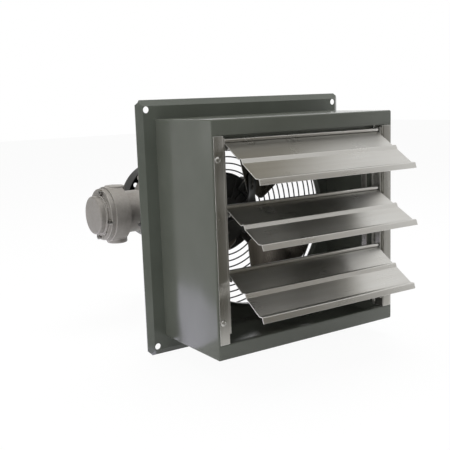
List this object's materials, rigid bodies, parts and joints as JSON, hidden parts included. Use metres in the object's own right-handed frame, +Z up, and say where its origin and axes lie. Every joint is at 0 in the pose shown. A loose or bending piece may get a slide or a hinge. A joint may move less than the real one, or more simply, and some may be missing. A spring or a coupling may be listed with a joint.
{
  "type": "exhaust fan",
  "caption": "Square wall-housed exhaust fan with gravity louvre shutter, mounting flange, propeller in a rolled orifice, wire basket guard and enclosed motor with side conduit box.",
  "frame": {"origin": "Centre of the mounting flange's wall-side face, on the fan's axis.", "axes": "+X right as seen from the discharge side, +Y from the shutter towards the motor (into the room), +Z up."},
  "size_m": [0.431, 0.6234, 0.431],
  "materials": {
    "box_paint": "satin charcoal paint on sheet steel",
    "flange_paint": "satin charcoal paint on sheet steel",
    "channel_metal": "mill-finish aluminium sheet",
    "screw_steel": "zinc-plated steel",
    "strip_metal": "mill-finish aluminium bar",
    "white_nylon": "moulded white nylon",
    "louvre_metal": "aluminium sheet brushed along the blades",
    "pin_steel": "zinc-plated steel",
    "blade_metal": "unpainted rolled aluminium sheet",
    "spider_paint": "dark painted steel plate",
    "rivet_steel": "plain steel rivets",
    "hub_cast": "cast hub",
    "shaft_steel": "ground steel",
    "core_steel": "stacked steel laminations",
    "fan_plastic": "black moulded plastic",
    "motor_paint": "dark grey enamel",
    "bell_cast": "sand-cast aluminium, grey",
    "winding_copper": "varnished copper wire",
    "bearing_steel": "ground bearing steel",
    "bolt_steel": "plated steel bolts",
    "cowl_paint": "black enamel",
    "arm_paint": "dark painted flat bar",
    "guard_wire": "dark coated welded wire",
    "conduit_cast": "cast aluminium, grey",
    "cover_bolt_steel": "plated steel socket bolts"
  },
  "bodies": {
    "housing": {"wall_box": "box_paint", "mounting_flange": "flange_paint", "left_channel": "channel_metal", "right_channel": "channel_metal", "channel_screws": "screw_steel", "left_pivot_strip": "strip_metal", "right_pivot_strip": "strip_metal", "pivot_bushes": "white_nylon", "front_end_bell": "motor_paint", "rear_end_bell": "bell_cast", "motor_shell": "motor_paint", "stator_core": "core_steel", "stator_windings": "winding_copper", "front_bearing": "bearing_steel", "rear_bearing": "bearing_steel", "through_bolts": "bolt_steel", "fan_cowl": "cowl_paint", "cowl_screws": "screw_steel", "mount_arm_1": "arm_paint", "mount_arm_2": "arm_paint", "mount_arm_3": "arm_paint", "mount_arm_4": "arm_paint", "arm_foot_bolts": "bolt_steel", "arm_motor_bolts": "bolt_steel", "guard_face_rings": "guard_wire", "guard_side_rings": "guard_wire", "guard_foot_rings": "guard_wire", "guard_ribs": "guard_wire", "guard_screws": "screw_steel", "conduit_box": "conduit_cast", "conduit_cover": "conduit_cast", "cover_bolts": "cover_bolt_steel"},
    "rotor": {"fan_blade_1": "blade_metal", "fan_blade_2": "blade_metal", "fan_blade_3": "blade_metal", "fan_spider": "spider_paint", "fan_rivets": "rivet_steel", "fan_hub": "hub_cast", "hub_set_screw": "screw_steel", "motor_shaft": "shaft_steel", "rotor_core": "core_steel", "cooling_fan": "fan_plastic"},
    "louvre_1": {"louvre_1": "louvre_metal", "louvre_1_pins": "pin_steel"},
    "louvre_2": {"louvre_2": "louvre_metal", "louvre_2_pins": "pin_steel"},
    "louvre_3": {"louvre_3": "louvre_metal", "louvre_3_pins": "pin_steel"},
    "tie_bar": {"tie_bar": "strip_metal"}
  },
  "joints": [
    {"name": "fan_spin", "type": "hinge", "parent": "housing", "child": "rotor", "pos_m": [0, 0, 0], "axis": [0, 1, 0], "continuous": true},
    {"name": "louvre_2_hinge", "type": "hinge", "parent": "housing", "child": "louvre_2", "pos_m": [0, -0.158, 0.0445], "axis": [1, 0, 0], "range_deg": [-23, 53]},
    {"name": "louvre_1_hinge", "type": "hinge", "parent": "housing", "child": "louvre_1", "pos_m": [0, -0.158, 0.1445], "axis": [1, 0, 0], "range_deg": [-23, 53]},
    {"name": "louvre_3_hinge", "type": "hinge", "parent": "housing", "child": "louvre_3", "pos_m": [0, -0.158, -0.0555], "axis": [1, 0, 0], "range_deg": [-23, 53]},
    {"name": "tie_bar_hinge", "type": "hinge", "parent": "louvre_2", "child": "tie_bar", "pos_m": [0, -0.138, 0.0345], "axis": [1, 0, 0], "range_deg": [-53, 23]}
  ],
  "couplings": [
    {"joint": "louvre_1_hinge", "follows": "louvre_2_hinge", "ratio": 1},
    {"joint": "louvre_3_hinge", "follows": "louvre_2_hinge", "ratio": 1},
    {"joint": "tie_bar_hinge", "follows": "louvre_2_hinge", "ratio": -1}
  ]
}
